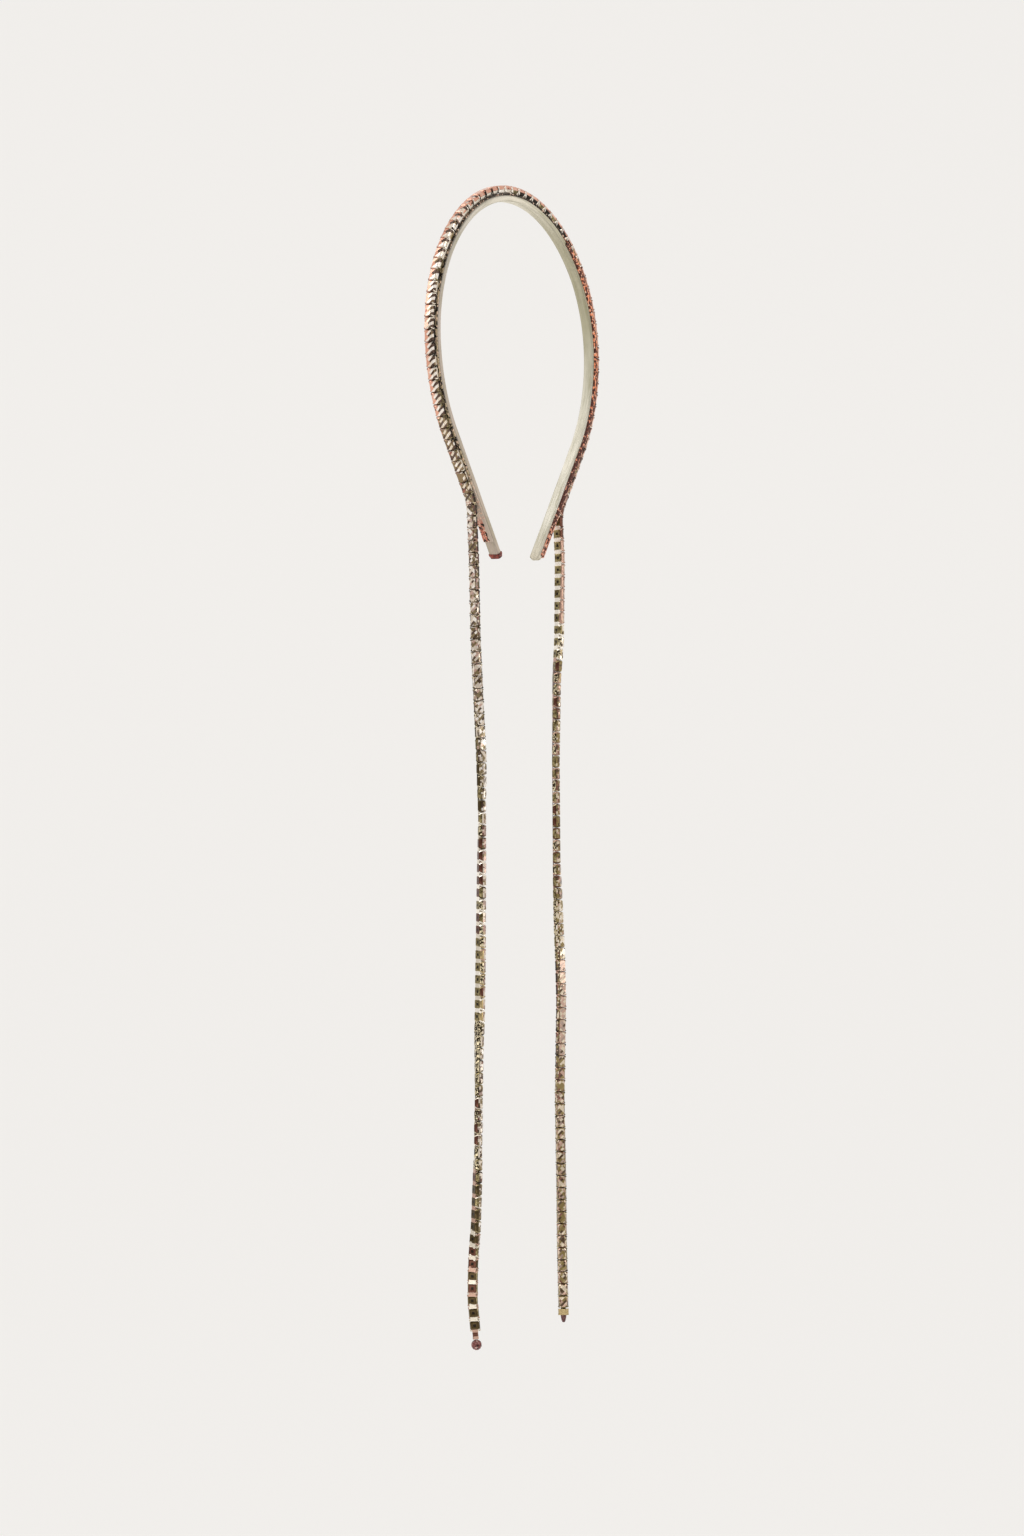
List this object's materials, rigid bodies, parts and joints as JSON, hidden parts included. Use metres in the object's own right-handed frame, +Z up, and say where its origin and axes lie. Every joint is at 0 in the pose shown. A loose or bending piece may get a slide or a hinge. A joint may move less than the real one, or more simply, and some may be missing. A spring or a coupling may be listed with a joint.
{
  "type": "crystal headband with two hanging crystal strands",
  "caption": "Slim satin headband with a crystal cup chain along its outer face that leaves it near each tip and hangs as a long strand on each side.",
  "frame": {"origin": "middle of the band's inner face at the crown, where the headband sits on the top of the head", "axes": "+Z up from the crown, +X across the head from the left leg to the right leg, +Y towards the back of the head"},
  "size_m": [0.1248, 0.0122, 0.4736],
  "materials": {
    "cream_satin": "cream satin wrapped over a slim flexible core",
    "coral_ribbon": "coral ribbon with a fine ribbed weave",
    "red_wrap": "dark red thread wound round the tip",
    "brass_setting": "pale polished brass, darker in its recesses",
    "coral_crystal": "faceted coral crystal with a foiled back",
    "blush_crystal": "faceted pale blush crystal with a foiled back",
    "peach_crystal": "faceted peach crystal with a foiled back",
    "rose_crystal": "faceted rose crystal ball",
    "garnet_crystal": "faceted dark garnet crystal point"
  },
  "bodies": {
    "root": {"band": "cream_satin", "backing_ribbon": "coral_ribbon", "left_tip_wrap": "red_wrap", "band_settings": "brass_setting", "band_crystals": "coral_crystal", "left_strand_settings": "brass_setting", "left_strand_crystals": "blush_crystal", "left_end_drop": "rose_crystal", "right_strand_settings": "brass_setting", "right_strand_crystals": "peach_crystal", "right_end_drop": "garnet_crystal"}
  },
  "joints": []
}
